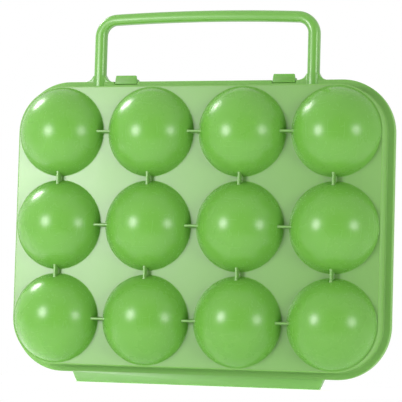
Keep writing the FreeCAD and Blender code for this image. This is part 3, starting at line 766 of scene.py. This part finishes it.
def root_surface(hand):
    """A strip whose thickness narrows to a waist halfway up, where the hook bends."""
    low, high = corners_of(f"latch_flexure_{hand}")
    z = np.linspace(low[2] - ROOT_SUNK, high[2] + ROOT_SUNK, 13)
    share = (z - (low[2] + high[2]) / 2) / (high[2] - low[2])
    thickness = ROOT_WAIST + (1 - ROOT_WAIST) * np.clip(np.abs(share) * 2, 0, 1) ** 2
    half = (high[1] - low[1]) / 2 * thickness
    y_mid = (low[1] + high[1]) / 2
    x = np.array([low[0] + ROOT_SUNK, high[0] - ROOT_SUNK])
    ring = np.stack([
        np.stack([np.full_like(z, x[0]), y_mid - half, z], axis=1),
        np.stack([np.full_like(z, x[1]), y_mid - half, z], axis=1),
        np.stack([np.full_like(z, x[1]), y_mid + half, z], axis=1),
        np.stack([np.full_like(z, x[0]), y_mid + half, z], axis=1),
    ], axis=1)
    return capped_surface(ring)


for hand in ("left", "right"):
    add_piece(f"snap_hook_{hand}", hook_surface(hand), hook_plastic, f"latch_{hand}",
              [f"latch_hook_{hand}"])
    root = add_piece(f"hook_root_{hand}", root_surface(hand), web_plastic, None,
                     [f"latch_flexure_{hand}"])
    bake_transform(root)


# ------------------------------------------------------------------ floor, light and camera
# A narrow pale shelf in a white light tent with three soft lights, and the camera slightly
# below the middle of the carrier and a little to its right.

def stage_plane(name, corners, colour, roughness, glow):
    """A flat four-cornered sheet with a plain finish that glows a little."""
    mesh = bpy.data.meshes.new(name)
    mesh.from_pydata(corners, [], [(0, 1, 2, 3)])
    material = bpy.data.materials.new(name)
    material.use_nodes = True
    shader = material.node_tree.nodes["Principled BSDF"]
    shader.inputs["Base Color"].default_value = (*colour, 1)
    shader.inputs["Roughness"].default_value = roughness
    shader.inputs["Emission Color"].default_value = (1, 1, 1, 1)
    shader.inputs["Emission Strength"].default_value = glow
    mesh.materials.append(material)
    plane = bpy.data.objects.new(name, mesh)
    bpy.context.scene.collection.objects.link(plane)


# The carrier stands on a white shelf, narrow so that it hides little of the lid folded down.
SHELF_HALF, SHELF_REACH = 0.06, 3
stage_plane("floor", [(-SHELF_REACH, -SHELF_HALF, 0), (SHELF_REACH, -SHELF_HALF, 0),
                      (SHELF_REACH, SHELF_HALF, 0), (-SHELF_REACH, SHELF_HALF, 0)],
            (0.9, 0.9, 0.9), roughness=0.6, glow=0.55)

OPENING_TURN = math.radians(16)                         # how far the opening lies right of -Y
OPENING_RIM, OPENING_CORE = math.radians(46), math.radians(26)
BELOW_STARTS, BELOW_FULL = math.radians(17), math.radians(24)


def studio_world(around, ahead, below):
    """A white light tent: bright all round, dim where its front is open, brightest below.

    Open: a smooth step in the cosine of the angle off the opening's middle, rim to core.
    Below: a smooth step in the sine of the angle down."""
    world = bpy.data.worlds.new("studio")
    world.use_nodes = True
    tree = world.node_tree
    background = tree.nodes["Background"]
    way = tree.nodes.new("ShaderNodeSeparateXYZ")
    tree.links.new(tree.nodes.new("ShaderNodeTexCoord").outputs["Generated"], way.inputs[0])

    def step(value, low, high):
        ramp = tree.nodes.new("ShaderNodeMapRange")
        ramp.interpolation_type = "SMOOTHSTEP"
        tree.links.new(value, ramp.inputs["Value"])
        ramp.inputs["From Min"].default_value, ramp.inputs["From Max"].default_value = low, high
        return ramp.outputs["Result"]

    turned = maths(tree, "SUBTRACT",
                   maths(tree, "MULTIPLY", way.outputs["X"], math.sin(OPENING_TURN)),
                   maths(tree, "MULTIPLY", way.outputs["Y"], math.cos(OPENING_TURN)))
    opening = step(turned, math.cos(OPENING_RIM), math.cos(OPENING_CORE))
    light = maths(tree, "ADD", maths(tree, "MULTIPLY", opening, ahead - around), around)
    under = step(way.outputs["Z"], -math.sin(BELOW_STARTS), -math.sin(BELOW_FULL))
    keep = maths(tree, "MULTIPLY", light, maths(tree, "SUBTRACT", 1.0, under))
    light = maths(tree, "ADD", keep, maths(tree, "MULTIPLY", under, below))
    seen = tree.nodes.new("ShaderNodeLightPath").outputs["Is Camera Ray"]
    strength = tree.nodes.new("ShaderNodeMix")
    tree.links.new(seen, strength.inputs["Factor"])
    tree.links.new(light, strength.inputs["A"])
    strength.inputs["B"].default_value = 1.0
    tree.links.new(strength.outputs["Result"], background.inputs["Strength"])
    background.inputs["Color"].default_value = (1, 1, 1, 1)
    bpy.context.scene.world = world


studio_world(around=0.92, ahead=0.25, below=1.5)


def add_area(name, azimuth, elevation, distance, width, height, power):
    """A soft oval light aimed at the carrier's middle; azimuth 0 is straight in front."""
    data = bpy.data.lights.new(name, "AREA")
    data.shape = "ELLIPSE"
    data.size, data.size_y, data.energy = width, height, power
    lamp = bpy.data.objects.new(name, data)
    a, e = math.radians(azimuth), math.radians(elevation)
    aim = Vector((0, 0, float(MIDDLE_Z)))
    way = Vector((math.sin(a) * math.cos(e), -math.cos(a) * math.cos(e), math.sin(e)))
    lamp.location = aim + way * distance
    lamp.rotation_euler = way.to_track_quat("Z", "Y").to_euler()
    bpy.context.scene.collection.objects.link(lamp)


add_area("key softbox", -106, 40, 1.5, 0.36, 0.42, 10.0)
add_area("front softbox", -32, 6, 0.62, 0.21, 0.23, 2.3)
add_area("right softbox", 55, 5, 1.8, 0.6, 0.6, 11.0)

camera_data = bpy.data.cameras.new("camera")
camera_data.lens, camera_data.sensor_width = 182.94, 36.0
camera_data.clip_start, camera_data.clip_end = 0.05, 20.0
camera = bpy.data.objects.new("camera", camera_data)
camera.location = (0.3428, -1.1103, 0.0272)
aim = Vector((0.0039, -0.0141, 0.1038))
look = (aim - camera.location).normalized()
ROLL = 1.628                                            # degrees, about the line of sight
level = look.to_track_quat("-Z", "Y")
camera.rotation_euler = (level @ Quaternion((0, 0, 1), math.radians(ROLL))).to_euler()
bpy.context.scene.collection.objects.link(camera)
bpy.context.scene.camera = camera
bpy.context.scene.view_settings.view_transform = "Standard"
